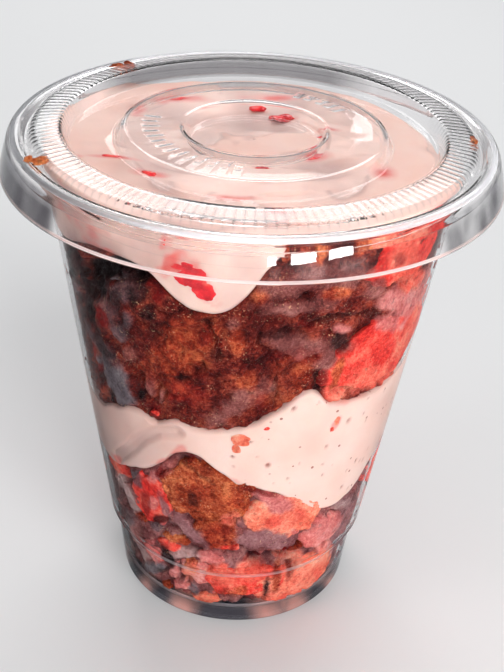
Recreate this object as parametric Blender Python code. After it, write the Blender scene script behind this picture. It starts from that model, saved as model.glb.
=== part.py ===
"""Cake cup: crumbled cake and cream in layers, in a clear plastic cup with a flat push-on lid.

Metres, +Z up. The origin is the centre of the cup's foot, and the shown side faces -Y.
An angle round the cup is 0 at the front (-Y) and grows towards +X.
"""
import math

import bmesh
import bpy
from mathutils import Vector, noise

MM = 0.001
GAP = 0.3 * MM

# Cup: a straight cone on a narrower foot, with a stacking bead and a rolled rim
CUP_SEGMENTS = 48
WALL = 0.8 * MM
FOOT_RADIUS = 25.4 * MM
FOOT_LAND = 2.4 * MM
PUNT_HEIGHT = 2.4 * MM
STEP_LOW = (27.0 * MM, 14.3 * MM)
STEP_HIGH = (28.5 * MM, 17.2 * MM)
CONE_TOP = (39.9 * MM, 95.2 * MM)
BEAD_OUT = 0.7 * MM
BEAD_TALL = 1.8 * MM
RIM_CENTRE = (45.05 * MM, 101.4 * MM)
RIM_ROLL = 1.15 * MM

# Lid: skirt, crest over the rim, groove, ribbed ring, moat, raised disc with a sunken centre
LID_SEGMENTS = 60
LID_WALL = 0.6 * MM
SKIRT_LOW = (48.5 * MM, 96.8 * MM)
SHOULDER = (46.9 * MM, 102.9 * MM)
CREST = (45.7 * MM, 104.0 * MM)
GROOVE = (43.6 * MM, 102.9 * MM)
RIB_OUT = (42.2 * MM, 104.6 * MM)
RIB_IN = (36.9 * MM, 105.2 * MM)
RIB_COUNT = 150
RIB_TALL = 0.5 * MM
MOAT_RADIUS = 35.3 * MM
MOAT_HEIGHT = 101.8 * MM
DISC_FOOT = 26.8 * MM
DISC_RADIUS = 25.3 * MM
DISC_HEIGHT = 104.5 * MM
CENTRE_RADIUS = 13.6 * MM
CENTRE_FOOT = 12.6 * MM
CENTRE_HEIGHT = 102.0 * MM

# Food layers: (angle in degrees, height in mm) where each edge meets the wall
FOOD_SEGMENTS = 48
CAP_SHARES = (0.45, 0.8)
LOWER_CREAM_EDGE = (
    (-180, 45), (-150, 42), (-120, 44), (-90, 38), (-65, 34.5), (-50, 36.5), (-36, 40), (-28, 44),
    (-22, 48.5), (-15, 49.5), (-8, 46), (0, 42.5), (15, 39), (28, 34), (38, 31), (50, 31), (62, 36),
    (90, 42), (120, 39), (150, 43),
)
UPPER_CREAM_EDGE = (
    (-180, 62), (-150, 58), (-120, 60), (-90, 54), (-62, 50), (-50, 53.2), (-37, 57), (-29, 55.6),
    (-22, 57.2), (-12, 56.8), (0, 58), (10, 61.5), (21, 66), (30, 62), (45, 60.5), (62, 61),
    (90, 65), (120, 60), (150, 57),
)
TOP_CREAM_EDGE = (
    (-180, 93), (-150, 89), (-120, 92), (-90, 90), (-64, 86.5), (-50, 90), (-39, 91), (-28, 90.3),
    (-17, 84.6), (-10, 83.4), (-4, 85), (1, 88.8), (5, 94), (10, 98), (35, 98.5), (60, 98),
    (90, 95), (120, 91), (150, 95),
)
FLOOR_HEIGHT = PUNT_HEIGHT + WALL
CREAM_LEVEL = 100.8 * MM
SHORT_MIDDLE = 147
SHORT_HALF = 78
SHORT_DROP = 5.5 * MM
THINNEST_CREAM = 1.6 * MM
CRAG_DEEP = 3.2 * MM
CRAG_WIDE = 13 * MM

# Pieces pressed against the wall: angle, height, half width, half height and depth in mm
LUMPS = {
    "cake_upper_red": (50, 71, 14.5, 10, 12, "red_cake"),
    "cake_top_red": (48, 92.5, 10, 6.5, 9, "red_cake"),
    "cake_upper_back": (165, 74, 15, 11, 12, "red_cake"),
    "cake_upper_left": (-118, 76, 14, 10, 11, "red_cake"),
    "strawberry_top": (-14, 91.5, 4.6, 3.6, 4, "strawberry"),
    "cake_lower_brown": (-11, 39, 10.5, 10, 12, "brown_cake"),
    "cake_lower_right": (20, 32, 8.5, 7, 9, "red_cake"),
    "cake_lower_left": (-36, 32, 6, 8, 8, "red_cake"),
    "cake_lower_side": (88, 31, 11, 8, 10, "red_cake"),
    "cake_lower_back": (170, 30, 12, 9, 10, "brown_cake"),
    "cake_base_front": (6, 13, 10, 6, 9, "red_cake"),
    "cake_base_right": (44, 11, 7, 7, 8, "red_cake"),
    "cake_base_left": (-120, 20, 11, 8, 9, "red_cake"),
}

COLOURS = {
    "clear_plastic": ((0.86, 0.88, 0.90), 0.08),
    "cream": ((0.93, 0.70, 0.62), 0.45),
    "brown_cake": ((0.22, 0.06, 0.035), 0.75),
    "dark_cake": ((0.16, 0.02, 0.03), 0.7),
    "red_cake": ((0.85, 0.16, 0.11), 0.7),
    "strawberry": ((0.70, 0.03, 0.03), 0.35),
}


def clear_scene():
    for item in list(bpy.data.objects):
        bpy.data.objects.remove(item, do_unlink=True)


def material(kind):
    found = bpy.data.materials.get(kind)
    if found:
        return found
    colour, roughness = COLOURS[kind]
    made = bpy.data.materials.new(kind)
    made.use_nodes = True
    shader = made.node_tree.nodes["Principled BSDF"]
    shader.inputs["Base Color"].default_value = (*colour, 1)
    shader.inputs["Roughness"].default_value = roughness
    shader.inputs["Metallic"].default_value = 0
    if kind == "clear_plastic":
        shader.inputs["Alpha"].default_value = 0.3
    return made


def add_object(name, mesh_builder, kind):
    """Turn a bmesh into a named object with its faces pointing out."""
    bmesh.ops.recalc_face_normals(mesh_builder, faces=mesh_builder.faces)
    if mesh_builder.calc_volume(signed=True) < 0:
        bmesh.ops.reverse_faces(mesh_builder, faces=mesh_builder.faces)
    mesh = bpy.data.meshes.new(name)
    mesh_builder.to_mesh(mesh)
    mesh_builder.free()
    mesh.materials.append(material(kind))
    item = bpy.data.objects.new(name, mesh)
    bpy.context.scene.collection.objects.link(item)
    mesh.shade_smooth()
    mesh.set_sharp_from_angle(angle=math.radians(35))
    return item


def on_circle(radius, angle, height):
    """The point at an angle round the cup, 0 at the front."""
    return Vector((radius * math.sin(angle), -radius * math.cos(angle), height))


def circle(radius, height, count):
    return [on_circle(radius, 2 * math.pi * step / count, height) for step in range(count)]


def join_rings(builder, first, second):
    """Faces between two closed rings, where one count is a whole multiple of the other."""
    if len(first) > len(second):
        first, second = second, first
    share = len(second) // len(first)
    for step, start in enumerate(first):
        after = first[(step + 1) % len(first)]
        fan = [second[(step * share + part) % len(second)] for part in range(share + 1)]
        if len(first) == 1:
            builder.faces.new((start, fan[0], fan[-1]))
        elif share == 1:
            builder.faces.new((start, fan[0], fan[1], after))
        else:
            middle = share // 2
            for part in range(share):
                corner = start if part < middle else after
                builder.faces.new((corner, fan[part], fan[part + 1]))
            builder.faces.new((start, fan[middle], after))


def join_to_pole(builder, pole, ring):
    for step, vertex in enumerate(ring):
        builder.faces.new((pole, vertex, ring[(step + 1) % len(ring)]))


def ring_solid(name, rings, kind):
    """A closed solid through a row of rings, whose first and last rings are single points."""
    builder = bmesh.new()
    rows = [[builder.verts.new(point) for point in ring] for ring in rings]
    join_to_pole(builder, rows[0][0], rows[1])
    for first, second in zip(rows[1:-2], rows[2:-1]):
        join_rings(builder, first, second)
    join_to_pole(builder, rows[-1][0], rows[-2])
    return add_object(name, builder, kind)


def arc(centre, radius, start, end, steps):
    """Points (radius, height) on an arc of a profile, with its angles in degrees."""
    turns = [math.radians(start + (end - start) * step / steps) for step in range(steps + 1)]
    return [(centre[0] + radius * math.cos(turn), centre[1] + radius * math.sin(turn))
            for turn in turns]


def slope_at(low, high, height):
    share = (height - low[1]) / (high[1] - low[1])
    return low[0] + (high[0] - low[0]) * share


def cup_inside():
    """The inner wall's profile, from the rim down to the floor."""
    bead_top = CONE_TOP[1] + BEAD_TALL
    return [
        (RIM_CENTRE[0] - 3.4 * MM, RIM_CENTRE[1] - 1.5 * MM),
        (CONE_TOP[0] + 0.3 * MM - WALL, bead_top - 0.3 * MM),
        (STEP_HIGH[0] - WALL, STEP_HIGH[1]),
        (STEP_LOW[0] - WALL, STEP_LOW[1]),
        (FOOT_RADIUS - WALL + 0.3 * MM, FLOOR_HEIGHT + 1.2 * MM),
        (FOOT_RADIUS - FOOT_LAND, FLOOR_HEIGHT),
    ]


def make_cup():
    bead_low = CONE_TOP[1]
    bead_radius = CONE_TOP[0] + BEAD_OUT
    outside = [
        (FOOT_RADIUS - FOOT_LAND - 1.2 * MM, PUNT_HEIGHT),
        (FOOT_RADIUS - FOOT_LAND, 0),
        (FOOT_RADIUS - 0.4 * MM, 0),
        (FOOT_RADIUS, 0.5 * MM),
        STEP_LOW,
        (STEP_HIGH[0] - 0.3 * MM, STEP_HIGH[1] - 1.0 * MM),
        STEP_HIGH,
        CONE_TOP,
        (bead_radius, bead_low + 0.5 * MM),
        (bead_radius, bead_low + BEAD_TALL - 0.5 * MM),
        (CONE_TOP[0] + 0.4 * MM, bead_low + BEAD_TALL),
        (RIM_CENTRE[0] - 2.3 * MM, RIM_CENTRE[1] - 1.5 * MM),
    ]
    rim = arc(RIM_CENTRE, RIM_ROLL, -120, 150, 6)
    profile = outside + rim + cup_inside()
    rings = [[Vector((0, 0, PUNT_HEIGHT))]]
    rings += [circle(radius, height, CUP_SEGMENTS) for radius, height in profile]
    rings += [[Vector((0, 0, FLOOR_HEIGHT))]]
    return ring_solid("cup", rings, "clear_plastic")


def lid_line():
    """The lid's upper surface, from the centre outwards, without its ribs."""
    return [
        (CENTRE_FOOT, CENTRE_HEIGHT),
        (CENTRE_RADIUS, DISC_HEIGHT),
        (DISC_RADIUS, DISC_HEIGHT),
        (DISC_FOOT, MOAT_HEIGHT),
        (MOAT_RADIUS, MOAT_HEIGHT),
        (RIB_IN[0] - 0.4 * MM, RIB_IN[1] - 0.5 * MM),
        RIB_IN,
        RIB_OUT,
        (RIB_OUT[0] + 0.5 * MM, RIB_OUT[1] - 0.8 * MM),
        GROOVE,
        (CREST[0] - 0.9 * MM, CREST[1] - 0.2 * MM),
        (CREST[0] + 0.5 * MM, CREST[1]),
        SHOULDER,
        (SKIRT_LOW[0] - 0.8 * MM, SKIRT_LOW[1] + 1.6 * MM),
        SKIRT_LOW,
    ]


def offset_line(points, distance):
    """The profile moved sideways, below it where it runs outwards, with mitred corners."""
    moved = []
    for index, point in enumerate(points):
        before = points[max(index - 1, 0)]
        after = points[min(index + 1, len(points) - 1)]
        normals = []
        for start, end in ((before, point), (point, after)):
            run = Vector((end[0] - start[0], end[1] - start[1]))
            if run.length > 0:
                run.normalize()
                normals.append(Vector((run.y, -run.x)))
        middle = (normals[0] + normals[-1]).normalized()
        reach = distance / max(middle.dot(normals[0]), 0.6)
        moved.append((point[0] + middle.x * reach, point[1] + middle.y * reach))
    return moved


def ribbed_circle(radius, height):
    """A circle whose points stand high on each rib and low beside it."""
    points = circle(radius, height, 2 * RIB_COUNT)
    for index, point in enumerate(points):
        point.z += RIB_TALL * (0.5 if index % 2 else -0.5)
    return points


def make_lid():
    upper = lid_line()
    lower = offset_line([point for point in upper if point != RIB_IN], LID_WALL)
    rings = [[Vector((0, 0, CENTRE_HEIGHT))]]
    for radius, height in upper:
        if (radius, height) in (RIB_IN, RIB_OUT):
            rings.append(ribbed_circle(radius, height))
        else:
            rings.append(circle(radius, height, LID_SEGMENTS))
    rings += [circle(radius, height, LID_SEGMENTS) for radius, height in reversed(lower)]
    rings += [[Vector((0, 0, CENTRE_HEIGHT - LID_WALL))]]
    return ring_solid("lid", rings, "clear_plastic")


def food_line():
    """The profile that food fills: the cone run on up to the lid, the step and the floor."""
    cone_high, cone_low = cup_inside()[1:3]
    top = CREAM_LEVEL + 0.4 * MM
    line = [(slope_at(cone_low, cone_high, top), top)] + cup_inside()[2:]
    return [(radius - GAP, height) for radius, height in line]


def wall_radius(height):
    """The radius that food may fill at a height."""
    profile = food_line()
    height = min(max(height, profile[-1][1]), profile[0][1])
    for high, low in zip(profile, profile[1:]):
        if height >= low[1]:
            return slope_at(low, high, height)
    return profile[-1][0]


def turn_from(angle, degrees):
    """The signed turn in degrees from one direction to an angle."""
    return (math.degrees(angle) - degrees + 180) % 360 - 180


def edge_height(edge, angle):
    """An edge's height at an angle, on a smooth closed curve through its points."""
    degrees = turn_from(angle, 0)
    count = len(edge)
    index = max(step for step in range(count) if edge[step][0] <= degrees)
    points = [edge[(index + step) % count] for step in (-1, 0, 1, 2)]
    start = points[1][0]
    end = points[2][0] if points[2][0] > start else points[2][0] + 360
    share = (degrees - start) / (end - start)
    heights = [point[1] for point in points]
    rise_in = (heights[2] - heights[0]) / 2
    rise_out = (heights[3] - heights[1]) / 2
    square = share * share
    cube = square * share
    height = ((2 * cube - 3 * square + 1) * heights[1] + (cube - 2 * square + share) * rise_in
              + (3 * square - 2 * cube) * heights[2] + (cube - square) * rise_out)
    return height * MM


def layer_face(edge):
    """A layer's boundary: its height at an angle and a radius share, 1 at the wall."""
    middle = sum(height for _, height in edge) / len(edge) * MM

    def height_at(angle, share):
        return middle + (edge_height(edge, angle) - middle) * share ** 1.5

    return height_at


def under_lid(low_face):
    """The top cream's surface: level under the lid, but short of the wall at the back right."""

    def height_at(angle, share):
        short = min(1, max(0, (SHORT_HALF - abs(turn_from(angle, SHORT_MIDDLE))) / 15))
        fall = max(0, share - 0.8) / 0.2
        ripple = noise.noise(on_circle(share * 3, angle, 0.5)) * 0.4 * MM
        level = CREAM_LEVEL - 0.3 * MM + ripple * (1 - fall)
        return max(level - SHORT_DROP * short * fall ** 1.4, low_face(angle, share) + THINNEST_CREAM)

    return height_at


def floor_face(angle, share):
    """The lowest layer's underside: flat on the cup's floor."""
    return FLOOR_HEIGHT + GAP


def crag_depth(angle, height):
    """How far craggy cake stays back from the wall: little on each lump, deep between lumps."""
    spot = on_circle(36 * MM, angle, height) / CRAG_WIDE
    nearest, second = noise.voronoi(spot)[0][:2]
    return CRAG_DEEP * max(0, 1 - 2.2 * (second - nearest))


def hollow_depth(angle, height):
    """The crags, a cleft, and the hollow at the left where the upper cake stands off the wall."""
    level = height / MM
    hollow = max(0, 1 - (turn_from(angle, -50) / 18) ** 2) * max(0, 1 - ((level - 74) / 15) ** 2)
    cleft = max(0, 1 - (turn_from(angle, 20) / 24) ** 2) * max(0, 1 - abs(level - 80) / 4)
    return crag_depth(angle, height) + 5 * MM * hollow + 2.5 * MM * cleft


def smooth_depth(angle, height):
    return 0


def layer_solid(name, low_face, high_face, depth, side_rows, kind):
    """One layer of food between two faces, clear of the wall by its own depth."""
    angles = [2 * math.pi * step / FOOD_SEGMENTS for step in range(FOOD_SEGMENTS)]

    def point_at(angle, share, rise):
        low = low_face(angle, share) + GAP / 2
        high = high_face(angle, share) - GAP / 2
        height = low + (high - low) * rise
        return low, high, height

    def cap_ring(share, rise):
        ring = []
        for angle in angles:
            height = point_at(angle, share, rise)[2]
            ring.append(on_circle(share * wall_radius(point_at(angle, 1, rise)[2]), angle, height))
        return ring

    def side_ring(rise):
        ring = []
        for angle in angles:
            full = wall_radius(point_at(angle, 1, rise)[2])
            ease = min(1, 4 * rise, 4 * (1 - rise))
            radius = full - depth(angle, point_at(angle, 1, rise)[2]) * ease
            height = point_at(angle, radius / full, rise)[2]
            ring.append(on_circle(min(radius, wall_radius(height)), angle, height))
        return ring

    rings = [[Vector((0, 0, point_at(0, 0, 0)[2]))]]
    rings += [cap_ring(share, 0) for share in CAP_SHARES]
    rings += [side_ring(row / side_rows) for row in range(side_rows + 1)]
    rings += [cap_ring(share, 1) for share in reversed(CAP_SHARES)]
    rings += [[Vector((0, 0, point_at(0, 0, 1)[2]))]]
    return ring_solid(name, rings, kind)


def food_space():
    """The whole space that food may fill, which trims the lumps at the wall."""
    profile = food_line()
    profile[-1] = (profile[-1][0], profile[-1][1] + GAP)
    rings = [[Vector((0, 0, profile[0][1]))]]
    rings += [circle(radius, height, CUP_SEGMENTS) for radius, height in profile]
    rings += [[Vector((0, 0, profile[-1][1]))]]
    return as_cutter(ring_solid("food_space", rings, "cream"))


def as_cutter(item):
    item.hide_render = True
    item.display_type = "WIRE"
    return item


def lump(name, place, grow):
    """A rough lump, a little larger by grow, half sunk in the wall until it is trimmed."""
    angle, height, wide, tall, deep, kind = place
    angle = math.radians(angle)
    builder = bmesh.new()
    bmesh.ops.create_icosphere(builder, subdivisions=2, radius=1)
    centre = on_circle(wall_radius(height * MM) - 0.45 * deep * MM, angle, height * MM)
    along = Vector((math.cos(angle), math.sin(angle), 0))
    inward = Vector((-math.sin(angle), math.cos(angle), 0))
    for vertex in builder.verts:
        spot = vertex.co.normalized()
        swell = 1 + 0.22 * noise.noise(spot * 1.6 + centre * 100)
        offset = along * spot.x * (wide * MM * swell + grow)
        offset += inward * spot.y * (deep * MM * swell + grow)
        offset.z += spot.z * (tall * MM * swell + grow)
        vertex.co = centre + offset
    return add_object(name, builder, kind)


def boolean(item, other, operation):
    cut = item.modifiers.new(operation.lower() + "_" + other.name, "BOOLEAN")
    cut.operation = operation
    cut.solver = "EXACT"
    cut.object = other


def near(first, second):
    """Whether two lumps' places are close enough for them to meet."""
    turn = math.radians((first[0] - second[0] + 180) % 360 - 180) * wall_radius(first[1] * MM) / MM
    rise = first[1] - second[1]
    return abs(turn) < first[2] + second[2] + 4 and abs(rise) < first[3] + second[3] + 4


def make_food():
    lower_cream = layer_face(LOWER_CREAM_EDGE)
    upper_cream = layer_face(UPPER_CREAM_EDGE)
    top_cream = layer_face(TOP_CREAM_EDGE)
    layers = [
        (layer_solid("cake_lower", floor_face, lower_cream, crag_depth, 4, "dark_cake"), 3, 47),
        (layer_solid("cream_middle", lower_cream, upper_cream, smooth_depth, 2, "cream"), 30, 66),
        (layer_solid("cake_upper", upper_cream, top_cream, hollow_depth, 5, "brown_cake"), 50, 99),
        (layer_solid("cream_top", top_cream, under_lid(top_cream), smooth_depth, 3, "cream"), 84, 101),
    ]
    space = food_space()
    made = []
    for name, place in LUMPS.items():
        piece = lump(name, place, 0)
        boolean(piece, space, "INTERSECT")
        cutter = as_cutter(lump(name + "_clearance", place, GAP * 1.2))
        for other_place, other_cutter in made:
            if near(place, other_place):
                boolean(piece, other_cutter, "DIFFERENCE")
        made.append((place, cutter))
        for layer, low, high in layers:
            if low - place[3] - 2 < place[1] < high + place[3] + 2:
                boolean(layer, cutter, "DIFFERENCE")


clear_scene()
make_cup()
make_lid()
make_food()
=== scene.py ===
"""Looks of the cake cup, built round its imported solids. +Z is up, the shown side faces -Y.

Lengths are in millimetres and become metres where a mesh is made. Materials, lamps and the camera
are in metres. An angle round the cup is 0 at the front (-Y) and grows towards +X, as in the solids.
"""
import math
import random

import bmesh
import bpy
import numpy as np
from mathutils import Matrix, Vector, noise


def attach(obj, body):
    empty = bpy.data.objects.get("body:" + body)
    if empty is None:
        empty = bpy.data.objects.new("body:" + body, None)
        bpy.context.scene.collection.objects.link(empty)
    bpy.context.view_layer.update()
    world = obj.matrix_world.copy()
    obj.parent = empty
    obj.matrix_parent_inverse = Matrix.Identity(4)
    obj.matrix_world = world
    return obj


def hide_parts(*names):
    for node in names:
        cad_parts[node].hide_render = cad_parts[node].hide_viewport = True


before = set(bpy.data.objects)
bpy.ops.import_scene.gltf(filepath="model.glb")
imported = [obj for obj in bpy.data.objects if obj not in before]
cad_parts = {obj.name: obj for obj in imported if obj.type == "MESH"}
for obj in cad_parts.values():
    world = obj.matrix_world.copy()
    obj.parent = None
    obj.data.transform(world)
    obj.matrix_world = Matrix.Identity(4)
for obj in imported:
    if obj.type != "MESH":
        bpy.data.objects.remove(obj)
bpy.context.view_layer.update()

MM = 0.001

# The solids' sizes, repeated from the part
WALL = 0.8
FOOT_RADIUS = 25.4
FOOT_LAND = 2.4
PUNT_HEIGHT = 2.4
FLOOR_HEIGHT = PUNT_HEIGHT + WALL
STEP_LOW = (27.0, 14.3)
STEP_HIGH = (28.5, 17.2)
CONE_TOP = (39.9, 95.2)
BEAD_OUT = 0.7
BEAD_TALL = 1.8
RIM_CENTRE = (45.05, 101.4)
RIM_ROLL = 1.15
LID_WALL = 0.6
SKIRT_LOW = (48.5, 96.8)
SHOULDER = (46.9, 102.9)
CREST = (45.7, 104.0)
GROOVE = (43.6, 102.9)
RIB_OUT = (42.2, 104.6)
RIB_IN = (36.9, 105.2)
RIB_COUNT = 150
RIB_TALL = 0.1
MOAT_RADIUS = 35.3
MOAT_HEIGHT = 101.8
DISC_FOOT = 26.8
DISC_RADIUS = 25.3
DISC_HEIGHT = 104.5
CENTRE_RADIUS = 13.6
CENTRE_FOOT = 12.6
CENTRE_HEIGHT = 102.0
LOWER_CREAM_EDGE = (
    (-180, 45), (-150, 42), (-120, 44), (-90, 38), (-65, 34.5), (-50, 36.5), (-36, 40), (-28, 44),
    (-22, 48.5), (-15, 49.5), (-8, 46), (0, 42.5), (15, 39), (28, 34), (38, 31), (50, 31), (62, 36),
    (90, 42), (120, 39), (150, 43),
)
UPPER_CREAM_EDGE = (
    (-180, 62), (-150, 58), (-120, 60), (-90, 54), (-62, 50), (-50, 53.2), (-37, 57), (-29, 55.6),
    (-22, 57.2), (-12, 56.8), (0, 58), (10, 61.5), (21, 66), (30, 62), (45, 60.5), (62, 61),
    (90, 65), (120, 60), (150, 57),
)
TOP_CREAM_EDGE = (
    (-180, 93), (-150, 89), (-120, 92), (-90, 90), (-64, 86.5), (-50, 90), (-39, 91), (-28, 90.3),
    (-17, 84.6), (-10, 83.4), (-4, 85), (1, 88.8), (5, 94), (10, 98), (35, 98.5), (60, 98),
    (90, 95), (120, 91), (150, 95),
)
CREAM_LEVEL = 100.8
SHORT_MIDDLE = 147
SHORT_HALF = 78
SHORT_DROP = 5.5
THINNEST_CREAM = 1.6
CRAG_DEEP = 3.2
CRAG_WIDE = 13
# Each chunk's angle, height, half width, half height and half depth, and its colours
LUMPS = {
    "cake_upper_red": (50, 71, 14.5, 10, 12, "red_cake"),
    "cake_top_red": (48, 92.5, 10, 6.5, 9, "red_cake"),
    "cake_upper_back": (165, 74, 15, 11, 12, "red_cake"),
    "cake_upper_left": (-118, 76, 14, 10, 11, "red_cake"),
    "strawberry_top": (-14, 91.5, 4.6, 3.6, 4, "strawberry"),
    "cake_lower_brown": (-11, 39, 10.5, 10, 12, "brown_cake"),
    "cake_lower_right": (20, 32, 8.5, 7, 9, "red_cake"),
    "cake_lower_left": (-36, 32, 6, 8, 8, "red_cake"),
    "cake_lower_side": (88, 31, 11, 8, 10, "red_cake"),
    "cake_lower_back": (170, 30, 12, 9, 10, "brown_cake"),
    "cake_base_left": (-120, 20, 11, 8, 9, "red_cake"),
    "cake_base_front": (6, 13, 10, 6, 9, "red_cake"),
    "cake_base_right": (44, 11, 7, 7, 8, "red_cake"),
}

# Looks
PRESSED = 0.25
CUP_SEGMENTS = 240
LID_SEGMENTS = 300
RIB_STEPS = 6
TUBE_SIDES = 9
FOOD_SEGMENTS = 576
NOISE_RADIUS = 36


def srgb(red, green, blue):
    """A colour given as it looks on screen, from 0 to 255, as Blender's linear colour."""
    def linear(value):
        value /= 255
        return value / 12.92 if value <= 0.04045 else ((value + 0.055) / 1.055) ** 2.4
    return (linear(red), linear(green), linear(blue), 1)


def unit(values):
    """The values, held between 0 and 1."""
    return np.clip(values, 0, 1)


# Repeatable noise on arrays of points, from -1 to 1
def hashed(cells, seed):
    """A repeatable number from 0 to 1 for each whole-number cell."""
    x, y, z = (cells[..., axis].astype(np.int64) for axis in range(3))
    mixed = (x * 73856093) ^ (y * 19349663) ^ (z * 83492791) ^ (seed * 297121507)
    mixed = ((mixed ^ (mixed >> 13)) * 1274126177) & 0xFFFFFFFF
    return ((mixed ^ (mixed >> 16)) & 0xFFFFFF) / 0xFFFFFF


def soft_noise(points, size, seed):
    """Smooth noise whose bumps are about size across."""
    scaled = points / size
    cell = np.floor(scaled)
    share = scaled - cell
    share = share * share * (3 - 2 * share)
    total = 0
    for corner in np.ndindex(2, 2, 2):
        step = np.array(corner)
        weight = np.prod(np.where(step == 1, share, 1 - share), axis=-1)
        total = total + weight * hashed(cell + step, seed)
    return total * 2 - 1


def layered_noise(points, size, octaves, seed):
    total = 0
    for octave in range(octaves):
        total = total + soft_noise(points, size / 2 ** octave, seed + octave) / 2 ** octave
    return total


def cell_noise(points, size, seed):
    """Distance to the nearest scattered point and on to the next, in sizes, and its number."""
    scaled = points / size
    cell = np.floor(scaled)
    nearest = np.full(points.shape[:-1], 9.0)
    second = nearest.copy()
    number = np.zeros_like(nearest)
    for offset in np.ndindex(3, 3, 3):
        near = cell + np.array(offset) - 1
        spot = near + np.stack([hashed(near, seed + axis) for axis in range(3)], -1)
        away = np.linalg.norm(spot - scaled, axis=-1)
        closer = away < nearest
        second = np.where(closer, nearest, np.minimum(second, away))
        number = np.where(closer, hashed(near, seed + 7), number)
        nearest = np.where(closer, away, nearest)
    return nearest, second, number


def cracks(points, size, sharp, seed):
    """How near points lie to the borders between scattered cells, 1 on a border."""
    near, second, _ = cell_noise(points, size, seed)
    return unit(1 - sharp * (second - near))


# Profiles and rings
def on_circle(radius, angle, height):
    """Points at an angle round the cup, 0 at the front, from numbers or arrays."""
    radius, angle, height = np.broadcast_arrays(radius, angle, height)
    return np.stack([radius * np.sin(angle), -radius * np.cos(angle), height], -1)


def turns(count):
    return 2 * math.pi * np.arange(count) / count


def around(points):
    """The angle round the cup at which each point lies."""
    return np.arctan2(points[:, 0], -points[:, 1])


def rounded(points, radius, steps=4):
    """A profile with its corners rounded."""
    line = [np.array(point, float) for point in points]
    result = [line[0]]
    for before, corner, after in zip(line, line[1:], line[2:]):
        back = before - corner
        onward = after - corner
        cut_back = min(radius, 0.45 * np.linalg.norm(back)) / np.linalg.norm(back)
        cut_on = min(radius, 0.45 * np.linalg.norm(onward)) / np.linalg.norm(onward)
        start = corner + back * cut_back
        end = corner + onward * cut_on
        for share in np.linspace(0, 1, steps + 1):
            result.append((1 - share) ** 2 * start + 2 * share * (1 - share) * corner
                          + share ** 2 * end)
    result.append(line[-1])
    return result


def arc(centre, radius, start, end, steps):
    angles = np.radians(np.linspace(start, end, steps + 1))
    return [(centre[0] + radius * math.cos(turn), centre[1] + radius * math.sin(turn))
            for turn in angles]


def offset_line(points, distance):
    """The profile moved sideways, below it where it runs outwards, with mitred corners."""
    moved = []
    for index, point in enumerate(points):
        before = points[max(index - 1, 0)]
        after = points[min(index + 1, len(points) - 1)]
        normals = []
        for start, end in ((before, point), (point, after)):
            run = Vector((end[0] - start[0], end[1] - start[1]))
            if run.length > 0:
                run.normalize()
                normals.append(Vector((run.y, -run.x)))
        middle = (normals[0] + normals[-1]).normalized()
        reach = distance / max(middle.dot(normals[0]), 0.6)
        moved.append((point[0] + middle.x * reach, point[1] + middle.y * reach))
    return moved


def add_mesh(name, points, faces, material):
    mesh = bpy.data.meshes.new(name)
    mesh.from_pydata((points * MM).tolist(), [], faces)
    mesh.validate()
    mesh.shade_smooth()
    mesh.materials.append(material)
    item = bpy.data.objects.new(name, mesh)
    bpy.context.scene.collection.objects.link(item)
    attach(item, "root")
    return item


def add_values(item, name, values):
    """A number for each point of a mesh, which its material reads."""
    attribute = item.data.attributes.new(name, "FLOAT", "POINT")
    attribute.data.foreach_set("value", np.asarray(values, np.float32).ravel())


def ring_faces(counts):
    """Faces through a row of rings, whose counts are 1 for a pole or multiples of each other."""
    faces = []
    starts = np.concatenate([[0], np.cumsum(counts)]).tolist()
    for row, (low, high) in enumerate(zip(counts, counts[1:])):
        first = starts[row]
        second = starts[row + 1]
        if low == 1:
            faces += [(first, second + (step + 1) % high, second + step) for step in range(high)]
        elif high == 1:
            faces += [(first + step, first + (step + 1) % low, second) for step in range(low)]
        elif low == high:
            faces += [(first + step, first + (step + 1) % low, second + (step + 1) % low,
                       second + step) for step in range(low)]
        else:
            few, many = (first, second) if low < high else (second, first)
            fewest = min(low, high)
            share = max(low, high) // fewest
            for step in range(fewest):
                fan = [many + (step * share + part) % (fewest * share)
                       for part in range(share + 1)]
                start = few + step
                after = few + (step + 1) % fewest
                for part in range(share):
                    corner = start if part < share // 2 else after
                    faces.append(turned((corner, fan[part + 1], fan[part]), low > high))
                faces.append(turned((start, after, fan[share // 2]), low > high))
    return faces


def turned(face, turn):
    return face[::-1] if turn else face


# Materials
# Darker, middle and lighter colours of the patches painted on the cakes. "dark" is painted shade in
# hollows, holes and seams; "slate" is partly a smeared film and partly a painted grey reflection on
# the plastic
TONES = {
    "slate": ((78, 66, 72), (110, 98, 104), (146, 136, 140)),
    "haze": ((100, 48, 46), (140, 78, 74), (178, 122, 114)),
    "film": ((124, 76, 80), (156, 102, 105), (188, 140, 140)),
    "milk": ((184, 140, 140), (208, 170, 166), (230, 200, 194)),
    "pink": ((190, 86, 84), (226, 126, 122), (246, 172, 164)),
    "coral": ((214, 70, 56), (250, 106, 88), (255, 158, 132)),
    "peach": ((228, 92, 74), (255, 138, 114), (255, 186, 160)),
    "warm": ((96, 18, 12), (168, 54, 32), (236, 126, 78)),
    "red": ((78, 4, 8), (124, 12, 14), (176, 38, 30)),
    "dark": ((12, 3, 6), (32, 8, 12), (66, 22, 26)),
}
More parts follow.
